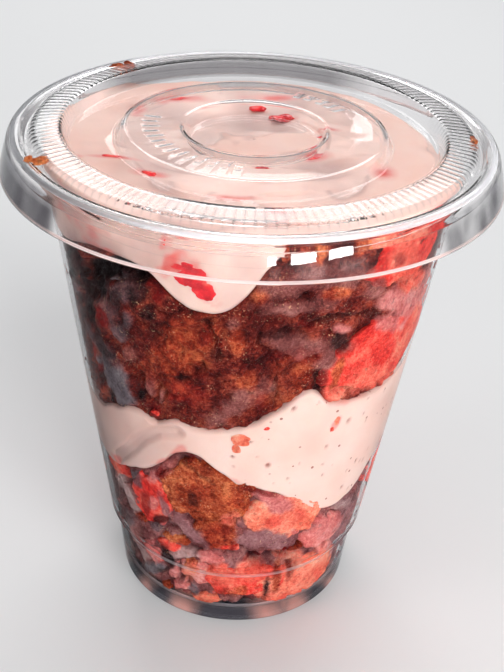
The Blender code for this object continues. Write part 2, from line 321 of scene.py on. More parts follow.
# Each cake's darker, middle and lighter colour; its colour in the depths, mixed in as painted shade
# where it lies deep; its grain; how strong its pores and painted glint specks are; for the plain
# crumb, no painted tones
CAKES = {
    "brown_cake": (((40, 3, 5), (106, 24, 20), (186, 80, 57)), (20, 3, 6), 1.0, 0.6),
    "crust_cake": (((100, 24, 12), (172, 66, 38), (236, 140, 90)), (40, 8, 8), 1.0, 0.6),
    "dark_cake": (((104, 44, 46), (150, 84, 84), (190, 128, 122)), (62, 22, 28), 0.8, 0.5),
    "red_cake": (((200, 30, 28), (247, 68, 58), (255, 134, 112)), (120, 16, 20), 0.9, 0.5),
    "coral_cake": (((228, 88, 68), (255, 136, 108), (255, 194, 164)), (150, 40, 36), 0.9, 0.5),
    "pink_cake": (((196, 80, 78), (230, 122, 116), (250, 176, 166)), (120, 36, 40), 0.9, 0.4),
    "plain_crumb": (((116, 36, 14), (196, 88, 44), (250, 160, 100)), (40, 8, 8), 1.0, 0.5, {}),
}
SPECK_GLINT = (255, 206, 160)
CREAM_PALE = (247, 213, 201)
CREAM_WARM = (244, 202, 188)
CREAM_PIT_SHADE = (160, 84, 70)
CREAM_SHADE = (172, 130, 124)
CREAM_STAIN = (226, 84, 76)
FRUIT = ((194, 14, 30), (238, 36, 46), (255, 106, 92))
BLACK = (0, 0, 0, 1)
CUP_TINT = (0.97, 0.97, 0.975, 1)
LID_TINT = (1.0, 0.985, 0.985, 1)
# Painted dark shade where the clear sheet is seen edge on
SLANT_SHADE_TINT = (0.07, 0.08, 0.09, 1)
# Painted shade round the foot, and the pink glints painted into it
FOOT_SHADE_TINT = (0.17, 0.16, 0.19, 1)
BLUSH_TINT = (1.0, 0.60, 0.54, 1)
SHADE_TINT = (0.07, 0.06, 0.075, 1)
ROLL_SHADE = (0.4, 0.41, 0.43, 1)


class Look:
    """A material in the making. A node's input takes a number, a colour or an output."""

    def __init__(self, name):
        self.made = bpy.data.materials.new(name)
        self.made.use_nodes = True
        self.nodes = self.made.node_tree.nodes
        self.place = self.node("TexCoord", "Object", {})

    def join(self, value, socket):
        if isinstance(value, (int, float, tuple)):
            socket.default_value = value
        else:
            self.made.node_tree.links.new(value, socket)

    def node(self, kind, output, inputs, **settings):
        made = self.nodes.new("ShaderNode" + kind)
        for name, value in settings.items():
            setattr(made, name, value)
        for socket, value in inputs.items():
            self.join(value, made.inputs[socket])
        return made.outputs[output]

    def noise(self, scale, detail, roughness):
        return self.node("TexNoise", "Fac", {"Vector": self.place, "Scale": scale,
                                             "Detail": detail, "Roughness": roughness})

    def ramp(self, value, stops):
        colour = self.node("ValToRGB", "Color", {"Fac": value})
        elements = colour.node.color_ramp.elements
        for index, (position, shown) in enumerate(stops):
            stop = elements[index] if index < 2 else elements.new(position)
            stop.position = position
            stop.color = shown
        return colour

    def crumb(self, value, colours):
        return self.ramp(value, zip((0.40, 0.5, 0.61), (srgb(*colour) for colour in colours)))

    def mix(self, share, first, second):
        return self.node("Mix", 2, {0: share, 6: first, 7: second}, data_type="RGBA")

    def span(self, value, low, high, to_low=0, to_high=1):
        return self.node("MapRange", 0, {0: value, 1: low, 2: high, 3: to_low, 4: to_high})

    def painted(self, name):
        return self.node("Attribute", "Fac", {}, attribute_name=name)

    def bump(self, height, distance, strength, below=None):
        inputs = {"Height": height, "Distance": distance, "Strength": strength}
        if below:
            inputs["Normal"] = below
        return self.node("Bump", "Normal", inputs)

    def finish(self, colour, inputs):
        """Set the shader's own inputs and give the material back."""
        for socket, value in {"Base Color": colour, **inputs}.items():
            self.join(value, self.nodes["Principled BSDF"].inputs[socket])
        return self.made


def soft_inside(weight, radius, scale):
    """The shader's inputs for light that spreads under a surface."""
    return {"Subsurface Weight": weight, "Subsurface Radius": radius, "Subsurface Scale": scale}


def plastic_material(name, tint, bend, rippled):
    """Clear moulded sheet with faint ripples; painted dark shade where it is seen edge on and round
    the foot, with pink glints painted in the foot.
    """
    look = Look(name)
    edge = look.span(look.node("LayerWeight", "Facing", {"Blend": 0.5}), 0.52, 0.80)
    height = look.node("SeparateXYZ", "Z", {0: look.place})
    # Painted shade round the foot, with the pink glints painted into it
    foot = look.span(height, 3.5 * MM, 7 * MM, 1, 0)
    colour = look.mix(foot, tint, look.mix(look.painted("blush"), FOOT_SHADE_TINT, BLUSH_TINT))
    colour = look.mix(look.painted("shade"), colour, SHADE_TINT)
    # Painted dark shade where the sheet is seen edge on, as much as its values say
    edge_on_shade = look.node("Math", 0, {0: edge, 1: look.painted("edge_on_shade")}, operation="MULTIPLY")
    colour = look.mix(edge_on_shade, colour, SLANT_SHADE_TINT)
    ripple = look.bump(look.noise(60, 2, 0.5), 0.6 * MM, rippled)
    return look.finish(colour, {"Normal": ripple, "Roughness": 0.03, "IOR": bend,
                                "Transmission Weight": 1})


def cake_material(name, body, deep, grain, sparkle, tones=TONES):
    """Open crumb: mottled body with grains, pale specks painted as glints, pores painted as shade,
    painted patches of tones, and painted shade where it lies deep behind the wall.
    """
    look = Look(name)
    deep = srgb(*deep)
    mottle = look.noise(190, 5, 0.65)
    grains = look.noise(1800 * grain, 6, 0.8)
    blend = look.mix(0.5, mottle, grains)
    colour = look.crumb(blend, body)
    for tone, colours in tones.items():
        patch = look.crumb(blend, colours)
        colour = look.mix(look.painted(tone), colour, patch)
    # Pores painted in the deep colour, as shade in the crumb's small holes
    pores = look.span(look.noise(800, 3, 0.6), 0.41, 0.33, 0, 0.7 * sparkle)
    colour = look.mix(pores, colour, deep)
    # Painted glints: pale specks in clusters, standing in for light caught on the crumb's grains
    specks = look.span(look.noise(2400, 2, 0.5), 0.63, 0.70, 0, sparkle)
    clusters = look.span(look.noise(260, 3, 0.6), 0.5, 0.62)
    specks = look.mix(clusters, BLACK, specks)
    colour = look.mix(specks, colour, srgb(*SPECK_GLINT))
    # Painted shade: darker towards the deep colour where the surface lies far behind the wall, in
    # crevices and hollows
    depth = look.span(look.painted("depth"), 0.12, 0.8)
    colour = look.mix(depth, colour, deep)
    coarse = look.bump(mottle, 1.2 * MM, 0.5)
    return look.finish(colour, {
        "Roughness": look.span(grains, 0.3, 0.7, 0.8, 0.5), "Specular IOR Level": 0.15,
        "Normal": look.bump(grains, 0.5 * MM, 0.8, coarse),
        **soft_inside(0.1, (1.0, 0.35, 0.25), 1.0 * MM)})


def cream_material():
    """Whipped cream: soft, satin, faintly streaked, with pits and small bubbles painted darker as
    shade.
    """
    look = Look("cream")
    pit = srgb(*CREAM_PIT_SHADE)
    streaks = look.noise(90, 3, 0.5)
    colour = look.ramp(streaks, ((0.35, srgb(*CREAM_WARM)), (0.62, srgb(*CREAM_PALE))))
    colour = look.mix(look.painted("shade"), colour, srgb(*CREAM_SHADE))
    near = look.node("TexVoronoi", "Distance", {"Vector": look.place, "Scale": 430})
    small = look.span(near, 0.2, 0.12)
    small = look.mix(small, BLACK, near.node.outputs["Color"])
    small = look.span(small, 0.4, 0.6, 0, 0.85)
    small = look.mix(small, BLACK, look.painted("bubbly"))
    # Painted shade: small bubbles and pits darkened towards the pit colour
    colour = look.mix(small, colour, pit)
    colour = look.mix(look.painted("depth"), colour, pit)
    colour = look.mix(look.painted("stain"), colour, srgb(*CREAM_STAIN))
    return look.finish(colour, {
        "Normal": look.bump(look.noise(700, 3, 0.6), 0.2 * MM, 0.5), "Roughness": 0.42,
        "Specular IOR Level": 0.3, **soft_inside(0.25, (1.0, 0.5, 0.35), 2.0 * MM)})


def fruit_material():
    """Wet fruit: glossy, deep red with paler veins."""
    look = Look("strawberry")
    veins = look.noise(350, 4, 0.6)
    colour = look.ramp(veins, zip((0.3, 0.5, 0.72), (srgb(*shown) for shown in FRUIT)))
    return look.finish(colour, {"Normal": look.bump(veins, 0.4 * MM, 0.6), "Roughness": 0.25,
                                **soft_inside(0.25, (1.0, 0.2, 0.1), 1.5 * MM)})


def highlight_ring_material(name, tint, clear):
    """The thicker, milky edge of the sheet, which also stands in as a painted highlight line."""
    look = Look(name)
    pale = tuple(min(1, channel * 1.08) for channel in tint)
    colour = look.ramp(look.noise(80, 2, 0.5), ((0.3, tint), (0.7, pale)))
    colour = look.mix(look.painted("shade"), colour, ROLL_SHADE)
    return look.finish(colour, {"Roughness": 0.4, "IOR": 1.15, "Transmission Weight": clear})


def make_materials():
    made = {name: cake_material(name, *row) for name, row in CAKES.items()}
    made["cup"] = plastic_material("cup_plastic", CUP_TINT, 1.03, 0.1)
    made["lid"] = plastic_material("lid_plastic", LID_TINT, 1.33, 0.15)
    made["edge"] = highlight_ring_material("edge_plastic", (0.92, 0.80, 0.78, 1), 0.6)
    made["line"] = highlight_ring_material("line_plastic", (0.86, 0.80, 0.82, 1), 0.9)
    made["crest"] = highlight_ring_material("crest_plastic", (0.90, 0.91, 0.94, 1), 0.7)
    made["cream"] = cream_material()
    made["strawberry"] = fruit_material()
    return made


# Plastic
def cup_inside():
    bead_top = CONE_TOP[1] + BEAD_TALL
    return [
        (RIM_CENTRE[0] - 3.4, RIM_CENTRE[1] - 1.5),
        (CONE_TOP[0] + 0.3 - WALL, bead_top - 0.3),
        (STEP_HIGH[0] - WALL, STEP_HIGH[1]),
        (STEP_LOW[0] - WALL, STEP_LOW[1]),
        (FOOT_RADIUS - WALL + 0.3, FLOOR_HEIGHT + 1.2),
        (FOOT_RADIUS - FOOT_LAND, FLOOR_HEIGHT),
    ]


def plastic_piece(name, rings, values, material, replaced):
    """A clear turned piece, with painted values; lamps reach the food through it."""
    faces = ring_faces([len(ring) for ring in rings])
    item = add_mesh(name, np.concatenate(rings), faces, material)
    for value_name, numbers in values.items():
        add_values(item, value_name, numbers)
    item.visible_shadow = False
    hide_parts(replaced)


# Angle and half width of the pink glints in the foot
BLUSHES = ((-24, 8), (19, 9), (36, 7), (-50, 6), (-78, 8), (62, 6), (110, 9), (165, 8), (-110, 9))


def make_cup(material):
    bead_low = CONE_TOP[1]
    bead_radius = CONE_TOP[0] + BEAD_OUT
    outside = [
        (0, PUNT_HEIGHT),
        (FOOT_RADIUS - FOOT_LAND - 1.2, PUNT_HEIGHT),
        (FOOT_RADIUS - FOOT_LAND, 0),
        (FOOT_RADIUS, 0),
        STEP_LOW,
        (STEP_LOW[0] + 0.3, STEP_LOW[1] + 1.2),
        (STEP_HIGH[0] - 0.1, STEP_HIGH[1] - 0.9),
        STEP_HIGH,
        CONE_TOP,
        (bead_radius, bead_low + 0.5),
        (bead_radius, bead_low + BEAD_TALL - 0.5),
        (CONE_TOP[0] + 0.4, bead_low + BEAD_TALL),
        (RIM_CENTRE[0] - 2.3, RIM_CENTRE[1] - 1.5),
    ]
    rim = arc(RIM_CENTRE, RIM_ROLL, -120, 150, 14)
    inside = cup_inside() + [(0, FLOOR_HEIGHT)]
    profile = rounded(outside + rim[:1], 0.6)[:-1] + rim
    profile += rounded(rim[-1:] + inside, 0.6)[1:]
    rings = [on_circle(radius, turns(CUP_SEGMENTS if radius > 0 else 1), height)
             for radius, height in profile]
    places = np.concatenate(rings)
    turn = around(places)
    # Painted shade where the cup is seen edge on: stronger on the left, less at the rim
    edge_on_shade = np.where(places[:, 2] < CONE_TOP[1] - 1, 0.65 - 0.35 * np.sin(turn), 0.2)
    lumpy = 0.3 * layered_noise(places, 4, 2, 21)
    blush = [unit(1.4 + lumpy - np.abs(turn_from(turn, angle)) / wide)
             for angle, wide in BLUSHES]
    values = {"edge_on_shade": edge_on_shade, "blush": np.max(blush, axis=0)}
    plastic_piece("cup_shell", rings, values, material, "cup")


BULGE = 0.06
BAR_ZONE = (17.6, 21.8)
# Angle, inner radius and outer radius of the plain bars on the disc
BARS = [(angle, 18.4 + 0.5 * (index % 2), 21.2) for index, angle in enumerate(range(-98, 0, 7))]
BARS += [(angle, 18.6, 20.8) for angle in (124, 131, 138, 147, 154)]


def lid_line():
    return [
        (0, CENTRE_HEIGHT),
        (CENTRE_FOOT, CENTRE_HEIGHT),
        (CENTRE_RADIUS, DISC_HEIGHT),
        (DISC_RADIUS, DISC_HEIGHT),
        (DISC_FOOT, MOAT_HEIGHT),
        (MOAT_RADIUS, MOAT_HEIGHT),
        (RIB_IN[0] - 0.4, RIB_IN[1] - 0.5),
        RIB_IN,
        RIB_OUT,
        (RIB_OUT[0] + 0.5, RIB_OUT[1] - 1.1),
        (GROOVE[0] - 0.4, GROOVE[1]),
        (GROOVE[0] + 0.1, GROOVE[1] + 0.15),
        (CREST[0] - 1.4, CREST[1] + 0.05),
        (CREST[0] + 0.45, CREST[1] - 0.2),
        SHOULDER,
        *((SHOULDER[0] + (SKIRT_LOW[0] - SHOULDER[0]) * share + 4 * BULGE * share * (1 - share),
           SHOULDER[1] + (SKIRT_LOW[1] - SHOULDER[1]) * share) for share in (0.15, 0.38, 0.62, 0.85)),
        SKIRT_LOW,
    ]


def rib_grooves(radius, angles):
    """How far points lie in the narrow grooves between the flat ribs."""
    fade = unit((radius - RIB_IN[0] + 0.5) / 0.5)
    fade = fade * unit((RIB_OUT[0] + 0.2 - radius) / 0.5)
    phase = angles * RIB_COUNT / (2 * math.pi) % 1
    return fade * unit(1 - np.abs(phase - 0.5) / 0.2)


def lid_relief(radius, angles, upper):
    """Ribs with grooves between them in a ring, and plain low bars on the disc."""
    tall = 0.5 + 0.3 * np.abs(np.sin(angles)) - 0.42 * unit(-np.cos(angles))
    relief = -RIB_TALL * tall * rib_grooves(radius, angles)
    if upper and BAR_ZONE[0] < radius < BAR_ZONE[1]:
        for angle, low, high in BARS:
            aside = np.radians(np.abs(turn_from(angles, angle))) * radius - 0.45
            along = abs(radius - (low + high) / 2) - (high - low) / 2
            relief = np.maximum(relief, 0.13 * unit(1 - np.maximum(aside, along) / 0.5))
    return relief


def make_lid(material):
    lower = rounded(offset_line(lid_line(), LID_WALL), 0.7)
    upper = []
    for point in rounded(lid_line(), 0.7):
        if upper and upper[-1][0] <= BAR_ZONE[0] and point[0] >= BAR_ZONE[1]:
            upper += [(radius, point[1]) for radius in np.linspace(*BAR_ZONE, 14)]
        upper.append(point)
    rings = []
    for index, (radius, height) in enumerate(lower + upper[::-1]):
        on_top = index >= len(lower)
        ribbed = RIB_IN[0] - 0.5 < radius < RIB_OUT[0] + 0.3
        barred = on_top and BAR_ZONE[0] <= radius <= BAR_ZONE[1]
        count = RIB_COUNT * RIB_STEPS if ribbed or barred else LID_SEGMENTS
        angles = turns(count if radius > 0 else 1)
        rings.append(on_circle(radius, angles, height + lid_relief(radius, angles, on_top)))
    places = np.concatenate(rings)
    reach = np.hypot(places[:, 0], places[:, 1])
    turn = around(places)
    on_skirt = unit((reach - SHOULDER[0] + 0.3) / 0.4)
    away = np.abs(turn_from(turn, 0))
    behind = unit((away - 95) / 20)
    aside = unit((away - 43) / 3) * (1 - 0.9 * behind)
    streaks = layered_noise(places * (1, 1, 0.5), 4, 3, 25)
    dusk = unit(0.8 - 0.16 * np.sin(turn) + (0.3 + 0.2 * np.sin(turn)) * streaks)
    grooved = 0.28 * rib_grooves(reach, turn % (2 * math.pi)) * (1 - behind)
    hidden = unit((52 - np.abs(turn_from(turn, 190))) / 16)
    hidden = hidden * unit((1.0 - np.abs(reach - 36.2)) / 0.3)
    # Painted shade where the skirt is seen edge on: stronger on the left, less behind
    values = {"edge_on_shade": on_skirt * (0.55 - 0.35 * np.sin(turn)) * (1 - 0.8 * behind),
              "shade": unit(aside * on_skirt * dusk + grooved + 0.6 * hidden)}
    plastic_piece("lid_shell", rings, values, material, "lid")


def make_rings(edge, line, crest):
    """Milky lines of thicker plastic and painted highlight: the skirt's edge and crest, the cup's
    step and foot.
    """
    for name, radius, height, tube, material, replaced in (
            ("skirt_edge", SKIRT_LOW[0] - 0.3, SKIRT_LOW[1] + 0.3, 0.28, edge, "lid"),
            ("crest_roll", CREST[0] - 0.1, CREST[1] - 0.72, 0.55, crest, "lid"),
            ("step_line", STEP_LOW[0] - 0.2, STEP_LOW[1], 0.32, line, "cup"),
            ("foot_line", FOOT_RADIUS - 0.5, FLOOR_HEIGHT + 0.9, 0.35, line, "cup")):
        rings = [on_circle(radius + tube * math.cos(turn), turns(CUP_SEGMENTS),
                           height + tube * math.sin(turn)) for turn in turns(TUBE_SIDES)]
        points = np.concatenate(rings)
        faces = ring_faces([CUP_SEGMENTS] * (TUBE_SIDES + 1))
        faces = [tuple(corner % len(points) for corner in face) for face in faces]
        item = add_mesh(name, points, faces, material)
        if name == "crest_roll":
            away = np.abs(turn_from(around(points), -80))
            add_values(item, "shade", 0.9 * unit((70 - away) / 40))
        item.visible_shadow = False
        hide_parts(replaced)


# Food
def wall_radius(height):
    """The radius at which food is pressed a little into the cup's inner wall."""
    line = cup_inside()[1:]
    (high_radius, high), (low_radius, low) = line[:2]
    top = CREAM_LEVEL + 1
    line[0] = (low_radius + (high_radius - low_radius) * (top - low) / (high - low), top)
    radii, heights = zip(*reversed(line))
    return np.interp(height, heights, radii) + PRESSED


def turn_from(angle, degrees):
    return (np.degrees(angle) - degrees + 180) % 360 - 180


def patches(angles, heights, places, seed):
    """How far points lie in soft patches: angle, height, half sizes, lean in mm a degree, share."""
    angles, heights = np.broadcast_arrays(angles, heights)
    spots = on_circle(NOISE_RADIUS, angles, heights)
    warp = 0.3 * layered_noise(spots, 5, 2, seed) + 0.3 * layered_noise(spots, 2, 3, seed)
    total = np.zeros(heights.shape)
    for angle, height, wide, tall, lean, share in places:
        across = turn_from(angles, angle)
        up = heights - height - lean * across
        away = np.hypot(across / wide, up / tall) + warp
        total = np.maximum(total, share * unit((1.1 - away) / 0.45))
    return total


def painted_tones(angles, heights, tones):
    return {tone: patches(angles, heights, places, 50 + index)
            for index, (tone, places) in enumerate(tones.items())}


def seams(angles, heights, lines, seed, ragged=0.7):
    """Depth of narrow seams: half width and depth in mm, then the angles and heights they pass."""
    angles, heights = np.broadcast_arrays(angles, heights)
    spots = on_circle(NOISE_RADIUS, angles, heights)
    reach = wall_radius(heights)
    along = np.radians(turn_from(angles, 0)) * reach
    along = along + ragged * layered_noise(spots, 3, 3, seed)
    up = heights + ragged * layered_noise(spots, 3, 3, seed + 5)
    total = np.zeros(heights.shape)
    for half, deep, line in lines:
        for (turn, level), (next_turn, next_level) in zip(line, line[1:]):
            start = (math.radians(turn) * reach, level)
            run = (math.radians(next_turn - turn) * reach, next_level - level)
            square = run[0] ** 2 + run[1] ** 2
            share = unit(((along - start[0]) * run[0] + (up - start[1]) * run[1]) / square)
            away = np.hypot(along - start[0] - run[0] * share, up - start[1] - run[1] * share)
            total = np.maximum(total, deep * unit(1.4 - away / half))
    return total


def edge_height(edge, angle):
    """An edge's height at one angle, on a smooth closed curve through its points."""
    degrees = float(turn_from(angle, 0))
    count = len(edge)
    index = max(step for step in range(count) if edge[step][0] <= degrees)
    points = [edge[(index + step) % count] for step in (-1, 0, 1, 2)]
    start = points[1][0]
    end = points[2][0] if points[2][0] > start else points[2][0] + 360
    share = (degrees - start) / (end - start)
    heights = [point[1] for point in points]
    rise_in = (heights[2] - heights[0]) / 2
    rise_out = (heights[3] - heights[1]) / 2
    square = share * share
    cube = square * share
    return ((2 * cube - 3 * square + 1) * heights[1] + (cube - 2 * square + share) * rise_in
            + (3 * square - 2 * cube) * heights[2] + (cube - square) * rise_out)


def edge_line(edge, angles, ragged, seed):
    """An edge's heights at many angles, made ragged as a real boundary is."""
    heights = np.array([edge_height(edge, angle) for angle in angles])
    spots = on_circle(NOISE_RADIUS, angles, heights)
    return heights + ragged * layered_noise(spots, 7, 3, seed)


def grid_piece(name, points, low_height, high_height, material, values, replaced):
    """A closed piece through rows of points, with painted values, shut by a pole at each end."""
    shut = (0.5, 0.5, 1)
    low_pole, high_pole = (on_circle(0, np.zeros(1), height)
                           for height in (low_height, high_height))
    rings = [low_pole, points[0] * shut, *points, points[-1] * shut, high_pole]
    faces = ring_faces([len(ring) for ring in rings])
    item = add_mesh(name, np.concatenate(rings), faces, material)
    zeros = np.zeros(points.shape[1])
    for value_name, numbers in values.items():
        numbers = np.broadcast_to(numbers, points.shape[:2])
        add_values(item, value_name, np.concatenate([[0], zeros, numbers.ravel(), zeros, [0]]))
    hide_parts(replaced)


def crumb_depth(spots, crag_share, seed):
    """Crags, crumbs and pores of open cake, as depth behind the wall."""
    crags = crag_share * CRAG_DEEP * cracks(spots, CRAG_WIDE, 3.5, seed)
    crumbs = 0.5 * cracks(spots, 4.2, 3.5, seed + 11) + 0.28 * cracks(spots, 1.5, 2.5, seed + 23)
    holes = 2.4 * unit(layered_noise(spots, 5, 3, seed + 31) - 0.55)
    return crags + crumbs + holes + 0.3 * (layered_noise(spots, 1.6, 3, seed + 5) + 0.4)


# Tones of film smeared against the wall, where the cake lies flatter; slate is partly such film and
# partly painted grey reflection
WET_TONES = ("slate", "haze", "film", "milk", "pink")
# How far a cake runs on into the cream
OVERLAP = 1.5


def cake_layer(name, replaced, low, high, rows, extra_depth, crag_share, tones, material):
    """Craggy cake between two edges, set back from the wall by its relief."""
    angles = turns(FOOD_SEGMENTS)
    low = low(angles) - OVERLAP
    high = high(angles) + OVERLAP
    heights = low + (high - low) * np.linspace(0, 1, rows)[:, None]
    spots = on_circle(NOISE_RADIUS, angles, heights)
    depth = crumb_depth(spots, crag_share, 11) + extra_depth(angles, heights)
    inset = np.minimum(heights - low, high - heights)
    values = painted_tones(angles, heights, tones)
    wet = np.max([values[tone] for tone in WET_TONES if tone in values], axis=0)
    depth = np.maximum(depth, 0) * (1 - 0.8 * wet)
    depth = depth + 1.2 * unit(1 - inset / 1.8)
    points = on_circle(wall_radius(heights) - depth, angles, heights)
    # How deep the surface lies, which the material paints as shade
    values["depth"] = unit(depth / 3.5)
    grid_piece(name, points, low.mean(), high.mean(), material, values, replaced)


# Seams as in seams(), patches as in patches()
UPPER_SEAMS = (
    (0.35, 1.0, ((19, 81.6), (23, 83.2), (29, 82.6))),
    (0.35, 0.9, ((33, 81.8), (38, 82.2), (42, 81.4))),
    (0.3, 0.8, ((4, 80), (6, 77), (9, 74), (11, 68), (10, 63))),
    (0.3, 0.9, ((-10, 82), (-7.5, 78), (-7, 74))),
    (0.35, 0.9, ((9, 60), (14, 62.5), (20, 65))),
    (0.3, 0.8, ((-22, 69), (-16, 67.5))),
)
UPPER_HOLLOW = ((-42, 86.5, 15, 3.5, 0.3, 1), (-50, 80.5, 6, 4, 0.3, 0.7))
UPPER_TONES = {
    # Partly a smeared film, partly a painted grey reflection on the plastic over the hollow at the
    # left
    "slate": (
        (-36, 84, 9, 3, 0.3, 0.5), (-36, 87.5, 1, 1.5, 0.3, 0.9), (-40, 85.5, 4, 0.5, 0.3, 0.9),
        (-41, 73, 4.5, 2.5, 0.3, 0.6), (-36, 77.5, 2.5, 2.5, 0.3, 0.5), (-46, 61, 10, 5.5, -0.1, 1),
        (-50, 66, 8, 4, -0.2, 0.5), (-42, 58, 5, 2.5, 0.3, 1), (-59, 68, 5.5, 3, -0.4, 0.5),
        (-65, 77, 4, 4, -0.3, 0.7), (-45, 78, 6, 6, -0.3, 0.4),
    ),
    "haze": (
        (-30, 63.5, 2.5, 3, 0.3, 0.7), (-26, 62, 0.6, 2, 0.3, 0.9), (-37, 69, 3.5, 2, 0.3, 0.5),
        (9, 90, 9, 2.5, 0, 0.8), (14, 86, 12, 2, 0, 0.9), (15, 77.5, 11, 2.6, -0.1, 0.9),
        (-1, 63, 11, 4, 0.4, 0.85), (23, 91.5, 13, 3.5, -0.1, 0.8), (-3, 82, 2.5, 1.5, 0.1, 0.6),
        (37, 87, 6, 3, -0.2, 0.8), (28, 76, 7, 2.5, -0.1, 0.6), (25.5, 73.8, 4, 3.5, 0.4, 1),
    ),
    "pink": (
        (29, 79.5, 3.5, 1.5, -0.2, 0.7), (52, 80.5, 12, 3.5, -0.3, 0.9), (66, 79, 8, 6, -0.3, 0.8),
        (47, 77, 8, 2.5, -0.3, 0.9),
    ),
    "coral": (
        (33, 98, 5, 1.7, -0.1, 0.9), (54, 95.6, 6, 2, -0.3, 0.9), (46, 93.5, 8.5, 4, -0.2, 1),
        (52, 86, 9, 3, -0.3, 1), (31, 64, 5, 3, -0.2, 1), (47, 63.5, 14, 4, -0.2, 1),
        (62, 70, 9, 6, -0.2, 1),
    ),
    "warm": (
        (-17, 75.5, 12, 7.5, 0.2, 0.8), (-17, 77.5, 6, 3.5, 0.2, 1), (-14, 73.5, 5, 3, 0.1, 1),
        (-32, 66.5, 5, 2.5, 0.3, 0.6), (-22, 66, 8, 4, 0, 0.35), (12, 63, 9, 4, 0, 0.35),
        (-19, 80.5, 3, 1.5, 0.2, 0.8), (-2, 78.5, 2.5, 3.5, 0.1, 0.9), (-9, 80, 2, 1.5, 0.1, 0.7),
        (25, 88.5, 5, 1.5, -0.1, 0.9), (9, 96.5, 1, 1.5, 0, 1), (18, 97.5, 1.5, 2, -0.1, 1),
        (29, 96.5, 2, 1.5, -0.1, 1), (11, 72.5, 3.5, 2.5, 0, 0.8), (18, 69.5, 4, 3.5, -0.1, 0.8),
        (2, 70, 3.5, 2.5, 0, 0.7), (29.5, 69.5, 2, 4.5, 0.8, 1), (3, 89, 2.5, 1.5, 0, 0.8),
    ),
    "red": (
        (-49, 73.5, 4.5, 3.5, 0.3, 0.9), (-24, 85.5, 3, 2.5, 0.2, 0.8), (-26, 88.5, 3, 1.5, 0.2, 0.6),
        (-55, 60.5, 3, 1.5, 0.3, 1), (-58, 63, 3, 2.5, -0.4, 0.9), (-19, 64.5, 9, 3.5, 0, 0.6),
        (17, 75, 8, 2.5, 0, 0.4), (43, 92, 3, 2, -0.2, 0.5), (17, 82, 3, 1.5, -0.1, 0.5),
        (-11, 78.5, 2, 2, 0.1, 0.6), (-29, 57.4, 2.4, 1.6, 0, 1), (6, 64, 2, 3, 0.4, 0.5),
    ),
    # Painted shade: the hollow at the left in deep shade, and dark holes and seams
    "dark": (
        (28.5, 76, 4, 2.6, -0.3, 0.85), (-31, 84.3, 4, 2.4, 0.3, 0.9), (-52, 67, 5, 3.5, -0.2, 0.6),
        (-58, 83, 5, 7, 0, 0.9), (-41, 87.5, 13, 2.5, 0.3, 1), (-31, 88, 3.5, 2, 0.2, 1),
        (-50, 81, 5, 4, 0, 1), (-41, 81, 4.5, 2, 0.3, 0.8), (-28, 81, 3, 2, 0.2, 0.9),
        (-50, 55, 4, 2, 0.4, 1), (-34, 60, 3.5, 2, 0.3, 1), (-18, 68, 3, 1, 0.2, 0.8),
        (-26, 77.5, 3, 2, 0.2, 0.5), (-10, 82.3, 3, 1, 0.1, 0.6), (-7, 75, 2.5, 2, 0.3, 0.6),
        (27, 82.6, 9, 1.1, 0, 0.7), (38, 81.5, 4, 0.9, -0.2, 0.6), (9, 80.5, 5, 1, 0.1, 0.6),
        (24, 69, 2.4, 2.4, -0.3, 0.7), (10, 67, 1.2, 4, -0.1, 0.4), (-64, 84, 9, 7, 0, 0.9),
        (-66, 68, 6, 8, 0, 0.6), (-56, 75, 4, 6, -0.4, 0.9),
    ),
}
LOWER_SEAMS = (
    (0.35, 1.0, ((8, 20), (14, 20.8), (22, 22))),
    (0.35, 1.0, ((16, 12), (17.5, 8))),
    (0.35, 0.9, ((-30, 18), (-30, 12))),
)
